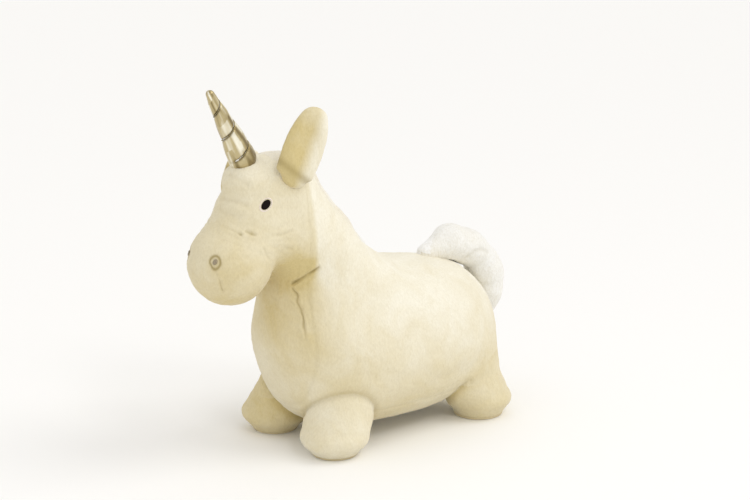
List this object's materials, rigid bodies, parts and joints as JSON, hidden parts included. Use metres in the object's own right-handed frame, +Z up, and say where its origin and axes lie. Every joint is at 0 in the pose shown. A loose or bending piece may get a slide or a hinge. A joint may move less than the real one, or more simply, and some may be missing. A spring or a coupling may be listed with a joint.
{
  "type": "plush unicorn",
  "caption": "Plush-covered ride-on unicorn with an air-filled core, stub legs, wound horn, soft ears, mane and a bending tail.",
  "frame": {"origin": "on the floor, at the middle of the toy's overall length and width", "axes": "+Z up, -Y towards the nose, +X towards the toy's left side"},
  "size_m": [0.254, 0.5786, 0.5483],
  "materials": {
    "vinyl": "soft sheen, air-filled vinyl",
    "valve_plastic": "satin",
    "face_plush": "short-pile plush",
    "body_plush": "short-pile plush",
    "mane_plush": "short-pile plush",
    "tail_plush": "short-pile plush",
    "sole_plush": "short-pile plush",
    "eye_thread": "satin-stitch embroidery",
    "nostril_thread": "satin-stitch embroidery",
    "stuffing": "loose polyester fibre",
    "horn_lame": "metallic woven lame",
    "horn_thread": "metallic thread",
    "zip_tape": "woven tape",
    "zip_coil": "nylon coil",
    "zip_metal": "satin"
  },
  "bodies": {
    "body": {"bladder": "vinyl", "valve_body": "valve_plastic", "muzzle_panel": "face_plush", "head_panel_left": "face_plush", "head_panel_right": "face_plush", "chest_panel": "face_plush", "side_panel_left": "body_plush", "side_panel_right": "body_plush", "belly_panel": "body_plush", "mane": "mane_plush", "leg_front_left": "body_plush", "leg_front_right": "body_plush", "leg_rear_left": "body_plush", "leg_rear_right": "body_plush", "sole_front_left": "sole_plush", "sole_front_right": "sole_plush", "sole_rear_left": "sole_plush", "sole_rear_right": "sole_plush", "eye_left": "eye_thread", "eye_right": "eye_thread", "nostril_left": "nostril_thread", "nostril_right": "nostril_thread", "zip_tape_left": "zip_tape", "zip_tape_right": "zip_tape", "zip_coil_left": "zip_coil", "zip_coil_right": "zip_coil", "zip_stop_front": "zip_metal", "zip_stop_rear": "zip_metal"},
    "ear_left": {"ear_left_inner": "face_plush", "ear_left_outer": "body_plush", "ear_left_stuffing": "stuffing"},
    "ear_right": {"ear_right_inner": "face_plush", "ear_right_outer": "body_plush", "ear_right_stuffing": "stuffing"},
    "horn": {"horn_cover": "horn_lame", "horn_thread": "horn_thread", "horn_stuffing": "stuffing"},
    "tail_upper": {"tail_upper_left": "tail_plush", "tail_upper_right": "tail_plush", "tail_upper_stuffing": "stuffing"},
    "tail_lower": {"tail_lower_left": "tail_plush", "tail_lower_right": "tail_plush", "tail_lower_stuffing": "stuffing"},
    "zip_slider": {"zip_slider": "zip_metal"},
    "zip_pull": {"zip_pull": "zip_metal"},
    "valve_plug": {"valve_plug": "valve_plastic"}
  },
  "joints": [
    {"name": "ear_left_fold", "type": "hinge", "parent": "body", "child": "ear_left", "pos_m": [0.058, -0.161, 0.426], "axis": [0.4636, 0.803, -0.3746], "range_deg": [-12, 75], "stiffness_Nm_per_rad": 0.25},
    {"name": "ear_right_fold", "type": "hinge", "parent": "body", "child": "ear_right", "pos_m": [-0.058, -0.161, 0.426], "axis": [0.309, 0.9511, 0], "range_deg": [-5, 125], "stiffness_Nm_per_rad": 0.25},
    {"name": "horn_lean", "type": "hinge", "parent": "body", "child": "horn", "pos_m": [0, -0.208, 0.446], "axis": [1, 0, 0], "range_deg": [-20, 20], "stiffness_Nm_per_rad": 0.6},
    {"name": "tail_swing", "type": "hinge", "parent": "body", "child": "tail_upper", "pos_m": [0, 0.135, 0.249], "axis": [0, 0.225, 0.9744], "range_deg": [-30, 30], "stiffness_Nm_per_rad": 0.6},
    {"name": "tail_lift", "type": "hinge", "parent": "tail_upper", "child": "tail_lower", "pos_m": [0, 0.244, 0.219], "axis": [1, 0, 0], "range_deg": [0, 35], "stiffness_Nm_per_rad": 0.4},
    {"name": "zip_slide", "type": "slide", "parent": "body", "child": "zip_slider", "axis": [0, 1, 0], "range_m": [0, 0.132]},
    {"name": "zip_pull_swing", "type": "hinge", "parent": "zip_slider", "child": "zip_pull", "pos_m": [0, -0.0455, 0.0179], "axis": [1, 0, 0], "range_deg": [-75, 75]},
    {"name": "valve_plug_pull", "type": "slide", "parent": "body", "child": "valve_plug", "axis": [0, 0, -1], "range_m": [0, 0.018]}
  ]
}
